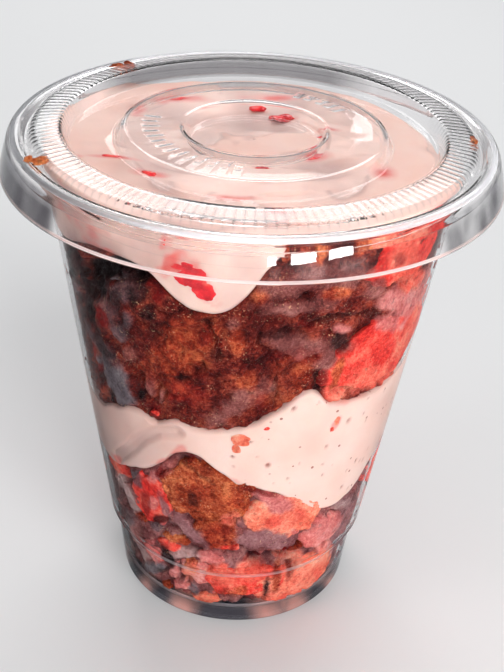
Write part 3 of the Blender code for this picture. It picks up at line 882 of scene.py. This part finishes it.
LOWER_TONES = {
    # Partly a smeared film, partly a painted grey reflection on the plastic
    "slate": (
        (-42, 36, 5, 2.5, 0.3, 0.8), (-34, 24.5, 6, 2, 0.3, 0.7), (-43, 8, 14, 2, 0.3, 1),
        (-18, 7.5, 3, 1.5, 0.2, 0.9), (-54, 20, 5, 3.5, 0.4, 0.6), (72, 10, 12, 8, -0.2, 0.7),
        (46, 5, 5, 1, -0.3, 0.7),
    ),
    "film": (
        (-28, 31.5, 3, 3, -0.6, 0.9), (-21, 28.5, 6, 3, -0.4, 1), (-14, 25.5, 4, 2.5, 0, 1),
        (-10, 23, 4, 1.5, 0.1, 0.8), (10, 26.5, 8, 3, 0, 1), (19, 24.5, 7, 3, -0.1, 1),
        (-4, 18, 8, 1.5, 0, 0.6), (55, 17.5, 9, 6, -0.3, 0.9), (56, 25, 8, 5, -0.3, 0.8),
        (2, 30, 2.5, 2, 0, 0.6),
    ),
    "milk": (
        (-50, 28, 7, 5, -0.5, 0.9), (-54, 13, 6, 5, -0.4, 0.8), (-20, 19, 7.5, 1.5, 0.2, 0.7),
        (-58, 29.5, 6, 3, 0.4, 0.6), (47, 15, 3, 3, 0, 0.6), (50, 28.5, 8, 1.5, -0.2, 0.6),
    ),
    "pink": (
        (-34, 31.5, 3, 2, 0.3, 0.8), (-42, 14, 5, 4, 0, 1), (-30, 10, 4, 2, 0.3, 0.9),
        (-26, 7.5, 5, 1.5, 0.2, 0.9), (-9, 20, 6, 2, 0.1, 0.8), (-33, 39, 3, 1.5, 0.3, 0.7),
        (15, 37.5, 9, 3, -0.3, 1), (41, 25, 7, 4.5, -0.3, 1), (25, 27, 3, 1.5, -0.2, 0.8),
        (34, 25.5, 2.5, 1.5, -0.2, 0.7), (-27, 43, 4, 2, 0.4, 0.5),
    ),
    "coral": (
        (-18, 15, 4, 3, 0.2, 1), (-3, 13.5, 10, 5.5, 0.1, 1), (-56, 34.5, 6, 2.5, 0.4, 0.9),
        (16, 31.5, 5, 3, -0.1, 1), (26, 31.5, 4.5, 3, -0.2, 1), (38, 9, 11, 6, -0.3, 1),
        (25, 19, 9.5, 1.5, -0.2, 1), (27, 5, 6, 1.5, -0.2, 1), (10, 15, 12, 4, -0.1, 0.9),
    ),
    "peach": (
        (18, 6.5, 7, 3, 0, 1), (29, 15, 6, 5, -0.2, 1), (22, 31, 5, 2.4, 0, 0.8),
        (-2, 32.6, 4, 2, 0, 0.7), (-6, 14.5, 4, 2.4, 0, 0.8), (-21, 12, 4, 2.5, 0.2, 0.8),
        (39, 8.5, 7, 5, -0.2, 1), (44, 13, 6, 5, -0.2, 1), (34, 6, 5, 2.5, 0, 1),
    ),
    "warm": (
        (-26, 22.5, 4, 1.2, 0, 0.9), (-44, 24, 4, 1.5, 0.3, 0.9), (-6, 27, 6, 4, 0.1, 1),
        (5, 9.5, 4.5, 2, 0, 0.8), (29, 22, 3, 1, -0.2, 1), (21, 12, 2.5, 5, -0.1, 0.9),
        (-18, 14.5, 2, 2, 0, 0.6), (0, 8, 4, 1.5, 0, 0.7), (-17, 41, 9, 4, -0.3, 0.6),
        (-2, 37.5, 6, 3.5, 0, 0.7),
    ),
    "red": (
        (-38, 30, 3.5, 4.5, 0.3, 0.7), (-28, 41.5, 3.5, 2, 0.3, 0.9), (-17, 47.5, 2, 1, 0.2, 0.8),
        (-3, 28.5, 3, 2, 0.1, 0.5), (0, 24.5, 2.5, 2.2, 0, 1), (12, 20.6, 7, 0.6, 0.15, 1),
        (24, 22, 5, 0.6, 0.1, 1), (28, 13.5, 3, 3.5, -0.2, 0.8), (-4, 8.5, 4, 1.5, 0.1, 0.6),
        (8, 40.5, 9, 0.8, -0.25, 0.8),
    ),
    # Painted shade in holes and seams
    "dark": (
        (-30, 28, 4, 1.5, 0.3, 0.9), (-31, 15.5, 3.5, 5, 0.2, 1), (-1, 23, 2, 1.2, 0, 0.6),
        (-16, 36.5, 2.5, 3, -0.4, 0.6), (-25, 9, 2.5, 1.5, 0.2, 0.6), (17, 9.5, 1.5, 4, -0.1, 1),
        (-38, 8.5, 4, 1.5, 0.3, 0.7), (-14, 44.5, 8, 0.8, -0.4, 0.5),
    ),
}


def scattered(tones, low, high, seed):
    """The painted patches, with more of them strewn over the side that the front hides."""
    strewn = random.Random(seed)
    result = {tone: list(places) for tone, places in tones.items()}
    names = [tone for tone in result if tone != "milk"]
    for _ in range(46):
        result[strewn.choice(names)].append(
            (strewn.uniform(82, 282), strewn.uniform(low, high), strewn.uniform(3, 10),
             strewn.uniform(1, 4), strewn.uniform(-0.3, 0.3), strewn.uniform(0.5, 1)))
    return result


UPPER_TONES = scattered(UPPER_TONES, 60, 92, 3)
LOWER_TONES = scattered(LOWER_TONES, 6, 42, 4)


def upper_depth(angles, heights):
    """The hollow at the left, narrow seams between pieces, and pits where the dark tone is painted as
    shade.
    """
    hollow = patches(angles, heights, UPPER_HOLLOW, 33)
    pits = patches(angles, heights, UPPER_TONES["dark"], 53)
    return 2.4 * hollow + 0.25 * pits + seams(angles, heights, UPPER_SEAMS, 71)


def lower_depth(angles, heights):
    pits = patches(angles, heights, LOWER_TONES["dark"], 53)
    return 0.1 + 0.3 * pits + seams(angles, heights, LOWER_SEAMS, 73)


def cream_pits(spots):
    """Small pits and bubbles, more of them at the right."""
    pits = np.zeros(spots.shape[:-1])
    many = unit((spots[..., 0] + 18) / 20)
    for size, seed, common in ((3.6, 41, 0.7), (2.4, 47, 0.75), (1.7, 53, 0.8)):
        near, _, number = cell_noise(spots * (1, 1, 0.8), size, seed)
        wide = 0.09 + 0.09 * hashed(np.floor(number * 9999)[..., None] + np.zeros(3), seed)
        pits = np.maximum(pits, unit(1.3 - near / wide) * (number > common) * many)
    return pits


MIDDLE_FOLDS = (
    (1.6, 0.8, ((-52, 38.5), (-43, 43.8), (-38.4, 47), (-33.6, 50.1), (-28.6, 52.6), (-21, 54.2))),
)
MIDDLE_STAINS = (
    (-21, 48.5, 4, 2.4, 0.6, 0.5), (-27, 44.6, 4, 1.6, 0.5, 0.45), (10, 39.5, 10, 0.8, -0.4, 0.4),
    (0, 54.5, 3, 2.4, 0, 0.5), (33.5, 56, 2, 2, 0.5, 0.5), (-28, 57, 2, 1.5, 0, 0.5),
    (36, 31, 6, 0.9, 0, 0.4), (45, 60.8, 14, 0.9, 0, 0.4), (-54, 37, 4, 1.2, 0, 0.6),
)
SIDE_STAINS = (
    (-21.8, 91.2, 2.8, 1.8, 0.2, 0.8), (-18, 93.6, 4.4, 2.2, 0.2, 0.9),
    (-20.6, 98, 1.8, 1.3, 0.5, 0.7), (-14.5, 92.4, 6, 3.2, -0.2, 0.9),
    (-10.2, 89.2, 4.2, 2.6, -0.4, 0.9), (-52, 96.5, 12, 4.5, 0, 0.45), (-39, 91.6, 2, 1, 0, 0.7),
    (-45, 91.5, 5, 1.4, 0, 0.5),
)
# Place and half sizes of the stains seen through the lid, along X and Y
TOP_STAINS = (
    (4, 24.4, 4.5, 1.5), (-25.5, -11.4, 5.5, 1.0), (6, 13.6, 3, 2.2), (11, -6.5, 4, 2),
    (1.7, -13.2, 2.2, 0.9), (14.8, 5.9, 2.4, 1), (-18.5, -17.2, 4, 2.2), (-2.8, -25.8, 5, 1.5),
    (3.9, 24.7, 8, 2), (-15.7, 19.5, 7, 2.2), (-33, -12, 2, 1), (4, -31, 5, 1), (24, -12, 3, 4),
    (-23.6, 12, 2, 4), (-20, 18.4, 3, 2.4), (0.5, 18.6, 2.4, 1.4),
)


def middle_cream(low, high, material):
    """Cream between the two cakes: full against the wall, with pits, rounded at its rims."""
    angles = turns(FOOD_SEGMENTS)
    low = low(angles)
    high = high(angles)
    heights = low + (high - low) * np.linspace(0, 1, 70)[:, None]
    spots = on_circle(34, angles, heights)
    inset = np.minimum(heights - low, high - heights)
    rim = unit(1 - inset / 1.4)
    pits = cream_pits(spots) * (rim < 0.2)
    swell = unit(layered_noise(spots, 16, 2, 9) - 0.35)
    fold = unit(seams(angles, heights, MIDDLE_FOLDS, 79, 0.15) / 1.1)
    fold = fold * fold * (3 - 2 * fold)
    depth = 1.8 * (1 - np.sqrt(1 - rim ** 2)) + 0.5 * pits + 0.6 * swell
    points = on_circle(wall_radius(heights) - depth - 0.9 * fold, angles, heights)
    left = unit((-np.sin(angles) - 0.2) / 0.6) * 0.65
    right = unit((np.sin(angles) - 0.74) / 0.4) * 0.6
    shade = left + right + 0.4 * rim + 0.25 * fold + 0.2 * layered_noise(spots, 9, 2, 19)
    # The pits, and the bubbles on the right only, are painted darker as shade in the material
    values = {"depth": pits, "shade": unit(shade) * 0.8, "bubbly": unit(np.sin(angles) / 0.2),
              "stain": patches(angles, heights, MIDDLE_STAINS, 97)}
    grid_piece("cream_middle_fill", points, low.mean(), high.mean(), material, values,
               "cream_middle")


def top_cream(edge, material):
    """The top cream: its side against the wall, and its surface pressed up under the lid."""
    angles = turns(FOOD_SEGMENTS)
    low = edge(angles)
    short = unit((SHORT_HALF - np.abs(turn_from(angles, SHORT_MIDDLE))) / 15)
    rim_height = np.maximum(CREAM_LEVEL - SHORT_DROP * short, low + THINNEST_CREAM)
    heights = low + (rim_height - low) * np.linspace(0, 1, 34)[:, None]
    spots = on_circle(38, angles, heights)
    rim = unit(1 - (heights - low) / 1.6)
    swell = unit(layered_noise(spots, 14, 2, 77) - 0.3)
    depth = 2.0 * (1 - np.sqrt(1 - rim ** 2)) + 0.5 * swell
    side = on_circle(wall_radius(heights) - depth, angles, heights)
    shares = np.linspace(0.985, 0.02, 90)[:, None]
    reach = shares * wall_radius(rim_height)
    fall = unit((shares - 0.8) / 0.2)
    level = rim_height + (CREAM_LEVEL - rim_height) * (1 - fall ** 1.4)
    surface = on_circle(reach, angles, level)
    stirred = surface + 4 * np.sin(surface[..., ::-1] * 0.13)
    swirl = layered_noise(stirred, 15, 3, 83)
    fold = 1 - 2 * np.abs(layered_noise(stirred, 22, 1, 87))
    ceiling = np.where(reach < CENTRE_FOOT, CENTRE_HEIGHT, MOAT_HEIGHT) - LID_WALL + 0.1
    inside_disc = (reach > CENTRE_RADIUS + 0.7) & (reach < DISC_RADIUS - 0.7)
    ceiling = np.where(inside_disc, MOAT_HEIGHT + 0.8, ceiling)
    tops = level + 0.6 + (1.2 * swirl + 0.6 * fold) * (1 - 0.7 * fall)
    surface[..., 2] = np.minimum(tops, ceiling)
    points = np.concatenate([side, surface])
    rims = unit(1 - np.abs(tops - ceiling + 0.1) / 0.14)
    blotches = layered_noise(spots, 8, 3, 91)
    dusk = unit(1 - np.abs(turn_from(angles, -45)) / 24)
    dusk = dusk * unit(1.2 - (heights - low) / 5)
    shade = np.concatenate([unit(0.4 * rim + 0.18 + 0.4 * blotches + 0.9 * dusk),
                            np.clip(0.42 * rims - 0.7 * swirl, 0, 0.65)])
    stain = patches(angles, heights, SIDE_STAINS, 99)
    stain = stain * np.clip(0.6 + 0.7 * layered_noise(spots, 2.5, 3, 93), 0.1, 1)
    spread = 0.9 + 0.5 * layered_noise(surface, 3, 3, 89)
    top_stain = np.zeros(surface.shape[:2])
    for x, y, wide, deep in TOP_STAINS:
        away = np.hypot((surface[..., 0] - x) / wide, (surface[..., 1] - y) / deep)
        top_stain = np.maximum(top_stain, unit(1.1 - away) * spread)
    values = {"depth": 0.0, "shade": shade, "stain": np.concatenate([stain, top_stain])}
    grid_piece("cream_top_fill", points, low.mean(), CREAM_LEVEL, material, values,
               "cream_top")


def ball(level):
    """The points and faces of a round ball, as arrays."""
    builder = bmesh.new()
    bmesh.ops.create_icosphere(builder, subdivisions=level, radius=1)
    points = np.array([vertex.co for vertex in builder.verts])
    faces = np.array([[vertex.index for vertex in face.verts] for face in builder.faces])
    builder.free()
    return points, faces


BALLS = {level: ball(level) for level in (3, 4, 5, 6)}


def lump(place, level, roughness, seed, pore=0.6):
    """A crumbly lump, pressed flat where it meets the wall, and how deep each point lies."""
    angle, height, wide, tall, deep = place[:5]
    angle = math.radians(angle)
    spheres, faces = BALLS[level]
    centre = on_circle(wall_radius(height) - PRESSED - 0.45 * deep, angle, height)
    along = np.array((math.cos(angle), math.sin(angle), 0))
    inward = np.array((-math.sin(angle), math.cos(angle), 0))
    swell = np.array([noise.noise(Vector(spot) * 1.6 + Vector(centre) * 0.1)
                      for spot in spheres])
    swell = (1 + 0.22 * swell)[:, None]
    points = centre + along * spheres[:, :1] * wide * swell
    points = points + inward * spheres[:, 1:2] * deep * swell
    points = points + np.array((0, 0, 1)) * spheres[:, 2:] * tall * swell
    outward = points - centre
    outward /= np.linalg.norm(outward, axis=1)[:, None]
    relief = -0.8 * cracks(points, 3.2, 2.6, seed) - 0.3 * cracks(points, 1.3, 2.4, seed + 3)
    relief = relief + 0.45 * layered_noise(points, 4, 4, seed + 5)
    points = points + outward * (relief * roughness)[:, None]
    radius = np.hypot(points[:, 0], points[:, 1])
    pores = pore * roughness * unit(layered_noise(points, 1.8, 3, seed + 9))
    limit = wall_radius(points[:, 2]) + 0.08 - pores
    over = np.minimum(1, limit / np.maximum(radius, 1))
    points[:, :2] *= over[:, None]
    depth = wall_radius(points[:, 2]) - np.hypot(points[:, 0], points[:, 1])
    return points, faces, unit(depth / 4)


def joined(name, pieces, tones, material):
    """One mesh of several loose pieces of a kind, painted with the tones of where they lie."""
    points = np.concatenate([piece[0] for piece in pieces])
    starts = np.cumsum([0] + [len(piece[0]) for piece in pieces])
    faces = np.concatenate([piece[1] + start for piece, start in zip(pieces, starts)])
    item = add_mesh(name, points, faces.tolist(), material)
    # How deep each point lies, which the material paints as shade
    add_values(item, "depth", np.concatenate([piece[2] for piece in pieces]))
    for tone, numbers in painted_tones(around(points), points[:, 2], tones).items():
        add_values(item, tone, numbers)
    return item


LUMP_LOOKS = {"cake_lower_right": "coral_cake", "cake_base_right": "coral_cake",
              "cake_lower_brown": "crust_cake"}
# Places as for the chunks
BERRY_PARTS = (
    (-13.4, 92.0, 3.4, 2.8, 3.6), (-10.9, 89.2, 2.7, 2.2, 3.4), (-16.4, 91.2, 2.6, 1.8, 3),
    (-17.4, 93.4, 2.2, 0.8, 2), (-15.2, 93.9, 1.7, 1.3, 2.6), (-20.6, 98.4, 0.7, 0.6, 1),
)
SMALL_PIECES = (
    (-3.5, 24, 3.4, 1.5, 2, "red"), (42, 23.5, 6, 4.6, 4, "pink"),
    (-41, 14.6, 3.6, 3.2, 4, "pink"), (-12, 5.4, 3.6, 1.8, 3, "coral"),
    (24, 5.4, 3.6, 1.8, 2.5, "coral"), (-19, 16, 2.0, 2.2, 2, "crust"),
    (-56, 34.6, 4.0, 2.0, 3, "red"), (-25, 22.8, 3.4, 1.4, 2, "crust"),
    (28, 21.6, 2.6, 0.9, 2, "crust"), (25.5, 26.8, 1.4, 1.1, 1.4, "pink"),
    (-44, 24.2, 2.6, 1.4, 2, "crust"), (-34, 5, 1.8, 1.1, 1.5, "crust"),
    (-24, 7.6, 3.4, 1.2, 2.5, "pink"), (34, 5.8, 3.4, 1.8, 3, "coral"),
    (-33, 37.5, 2.6, 2.0, 2, "red"), (-36, 30, 2.2, 2.4, 2, "red"),
    (-6, 28.5, 5.6, 4.6, 4, "crust"), (46, 17.5, 2.5, 2, 2.5, "pink"),
    (-15, 14, 5, 4.2, 3, "pink"), (24, 10, 6, 5, 4, "coral"), (-29, 20, 3, 2, 2, "red"),
    (-9, 19.6, 3.6, 1.8, 2, "pink"), (30, 27.5, 2.0, 1.5, 2, "coral"),
    (36, 28, 1.8, 1.4, 2, "pink"),
    (-47, 30, 3.4, 3.0, 3, "dark"), (-52, 16, 2.4, 4.0, 3, "dark"),
    (9, 97.4, 0.9, 1.9, 3, "crust"), (18, 97.8, 1.5, 2.0, 3, "crust"),
    (29, 97.8, 2.2, 1.8, 3, "crust"), (38, 97.4, 3.4, 2.0, 3, "coral"),
    (48, 97.2, 3.6, 2.2, 3, "coral"), (58, 96.8, 3.6, 2.2, 3, "red"),
)
CREAM_PIECES = (
    (0.4, 54.8, 2.5, 2.0, 4, "coral"), (-0.8, 52.4, 1.2, 1.6, 3, "coral"),
    (33.6, 56.6, 1.0, 1.5, 3, "coral"), (32.2, 54.8, 0.8, 1.2, 2, "red"),
    (9, 57.8, 0.8, 0.5, 1, "red"), (-29, 57.2, 1.2, 0.8, 1, "red"),
)


def make_lumps(materials):
    for index, (name, place) in enumerate(LUMPS.items()):
        level = 6 if abs(place[0]) < 80 else 5
        kind = place[5]
        roughness = {"brown_cake": 1.0, "red_cake": 0.6, "strawberry": 0.15}[kind]
        pieces = [lump(place, level, roughness, 100 + index)]
        tones = UPPER_TONES if place[1] > 50 else LOWER_TONES
        if kind == "strawberry":
            pieces = [lump(part, 5, 0.35, 140 + step, 0.1) for step, part in enumerate(BERRY_PARTS)]
            tones = {}
        item = joined(name + "_crumb", pieces, tones, materials[LUMP_LOOKS.get(name, kind)])
        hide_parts(name)
    scatter = random.Random(5)
    kinds = ("pink", "coral", "red", "crust", "dark")
    extra = tuple((scatter.uniform(75, 290), scatter.uniform(6, 36), scatter.uniform(1.5, 4),
                   scatter.uniform(1.3, 3.4), scatter.uniform(1.5, 3.5), scatter.choice(kinds))
                  for _ in range(34))
    for kind in kinds:
        pieces = [lump(place, 4 if index < len(SMALL_PIECES) else 3, 0.6, 200 + index)
                  for index, place in enumerate(SMALL_PIECES + extra) if place[5] == kind]
        pieces += [lump(place, 4, 0.4, 260 + index, 0.1)
                   for index, place in enumerate(CREAM_PIECES) if place[5] == kind]
        joined("crumbs_" + kind, pieces, LOWER_TONES, materials[kind + "_cake"])


# Place on top and half sizes of the bits, along X and Y
FLECKS = (
    (-26, -11.4, 2.6, 0.8), (0.4, 18.4, 1.6, 1.0), (6, 13.6, 2.5, 1.8), (12.2, -5.8, 2.2, 1.3),
    (10.5, -7, 1.5, 0.9), (1.7, -13.2, 1.1, 0.5), (14.8, 5.9, 1.2, 0.4), (13, 3, 1.0, 0.3),
    (-18.5, -17.2, 1.6, 1.2), (-15.7, 19.5, 2.2, 0.8),
)
LID_CRUMBS = (
    (-29.1, 31.1, 2.0, 1.5), (-27.6, 31.9, 1.4, 1.0),
    (-37.7, -20.1, 1.6, 0.8), (-39.8, -20.3, 0.8, 0.7), (42.1, -1, 0.7, 1.8),
)


def flat_bit(place, height, tall, seed):
    """A small flattened bit of fruit or crumb lying at a place on top."""
    x, y, wide, deep = place
    spheres, faces = BALLS[4]
    rough = 1 + 0.55 * layered_noise(spheres + seed * 7.3, 0.8, 4, seed)
    points = spheres * rough[:, None] * np.array((wide, deep, tall))
    return points + np.array((x, y, height)), faces, np.zeros(len(points))


def make_bits(materials):
    reds = [flat_bit(place, MOAT_HEIGHT - LID_WALL - 0.35, 0.7, 300 + index)
            for index, place in enumerate(FLECKS)]
    joined("strawberry_flecks", reds, {}, materials["strawberry"])
    crumbs = [flat_bit(place, CREST[1] - 0.2, 0.7, 330 + index)
              for index, place in enumerate(LID_CRUMBS)]
    joined("crumbs_on_lid", crumbs, {}, materials["plain_crumb"])


def make_stage():
    floor = bpy.data.meshes.new("floor")
    half = 3
    floor.from_pydata([(-half, -half, 0), (half, -half, 0), (half, half, 0), (-half, half, 0)],
                      [], [(0, 1, 2, 3)])
    look = Look("floor")
    faint = look.noise(3, 2, 0.5)
    colour = look.ramp(faint, ((0.2, (0.90, 0.90, 0.90, 1)), (0.8, (0.93, 0.93, 0.93, 1))))
    floor.materials.append(look.finish(colour, {"Roughness": 0.7}))
    item = bpy.data.objects.new("floor", floor)
    bpy.context.scene.collection.objects.link(item)


def area_light(name, place, target, size, power, mirrored=True):
    data = bpy.data.lights.new(name, "AREA")
    data.shape = "RECTANGLE"
    data.size, data.size_y = size
    data.energy = power
    item = bpy.data.objects.new(name, data)
    item.location = place
    direction = Vector(target) - Vector(place)
    item.rotation_euler = direction.to_track_quat("-Z", "Y").to_euler()
    item.visible_glossy = mirrored
    item.visible_transmission = mirrored
    bpy.context.scene.collection.objects.link(item)


def make_lights():
    world = bpy.data.worlds.new("studio")
    world.use_nodes = True
    world.node_tree.nodes["Background"].inputs["Color"].default_value = (0.95, 0.97, 1.0, 1)
    world.node_tree.nodes["Background"].inputs["Strength"].default_value = 0.32
    bpy.context.scene.world = world
    middle = (0, 0, 0.06)
    area_light("strip", (0.04, 0.65, 0.66), (0, -0.045, 0.104), (0.8, 0.3), 3.0)
    area_light("front", (0.3, -0.62, 0.75), middle, (0.45, 0.35), 3.0, mirrored=False)
    area_light("left", (-0.8, -0.35, 0.4), middle, (0.3, 0.4), 0.8, mirrored=False)
    area_light("glint_left", (-0.19, 0.62, 0.36), (-0.036, 0, 0.105), (0.11, 0.11), 0.12)
    area_light("glint_right", (0.083, 0.63, 0.348), (0.022, 0.005, 0.1045), (0.024, 0.022), 0.005)
    skirt = (0.012, -0.046, 0.101)
    area_light("window_left", (0.245, -0.598, 0.1244), skirt, (0.115, 0.027), 0.8)
    area_light("window_right", (0.393, -0.511, 0.1242), skirt, (0.115, 0.027), 0.8)
    area_light("window_small", (0.105, -0.637, 0.1248), skirt, (0.035, 0.026), 0.22)


CAMERA_TURNS = (58.42939, -2.7148, 1.22806)


def make_camera():
    """The photograph's camera: above the rim, tilted down and turned a little."""
    data = bpy.data.cameras.new("camera")
    data.sensor_width = 36
    data.lens = 65.52
    data.clip_start = 0.01
    item = bpy.data.objects.new("camera", data)
    item.location = (0, -0.220246, 0.19256)
    item.rotation_euler = [math.radians(turn) for turn in CAMERA_TURNS]
    bpy.context.scene.collection.objects.link(item)
    bpy.context.scene.camera = item


def base_edge(angles):
    return FLOOR_HEIGHT + 1.7 + 0 * angles


def near_front(angles, middle, half):
    return unit((half - np.abs(turn_from(angles, middle))) / 6)


def low_edge(angles):
    sunk = near_front(angles, -18, 9) + near_front(angles, 38, 11)
    return edge_line(LOWER_CREAM_EDGE, angles, 0.6, 31) - 0.6 * sunk


def high_edge(angles):
    sunk = near_front(angles, -14, 36)
    return edge_line(UPPER_CREAM_EDGE, angles, 0.6, 37) - 0.7 * sunk


def top_edge(angles):
    return edge_line(TOP_CREAM_EDGE, angles, 0.4, 61)


make_camera()
make_lights()
make_stage()
MATERIALS = make_materials()
make_cup(MATERIALS["cup"])
make_lid(MATERIALS["lid"])
make_rings(MATERIALS["edge"], MATERIALS["line"], MATERIALS["crest"])
cake_layer("cake_lower_mass", "cake_lower", base_edge, low_edge, 100, lower_depth, 0.3,
           LOWER_TONES, MATERIALS["dark_cake"])
middle_cream(low_edge, high_edge, MATERIALS["cream"])
cake_layer("cake_upper_mass", "cake_upper", high_edge, top_edge, 95, upper_depth, 0.12,
           UPPER_TONES, MATERIALS["brown_cake"])
top_cream(top_edge, MATERIALS["cream"])
make_lumps(MATERIALS)
make_bits(MATERIALS)
bpy.context.scene.view_settings.view_transform = "Standard"
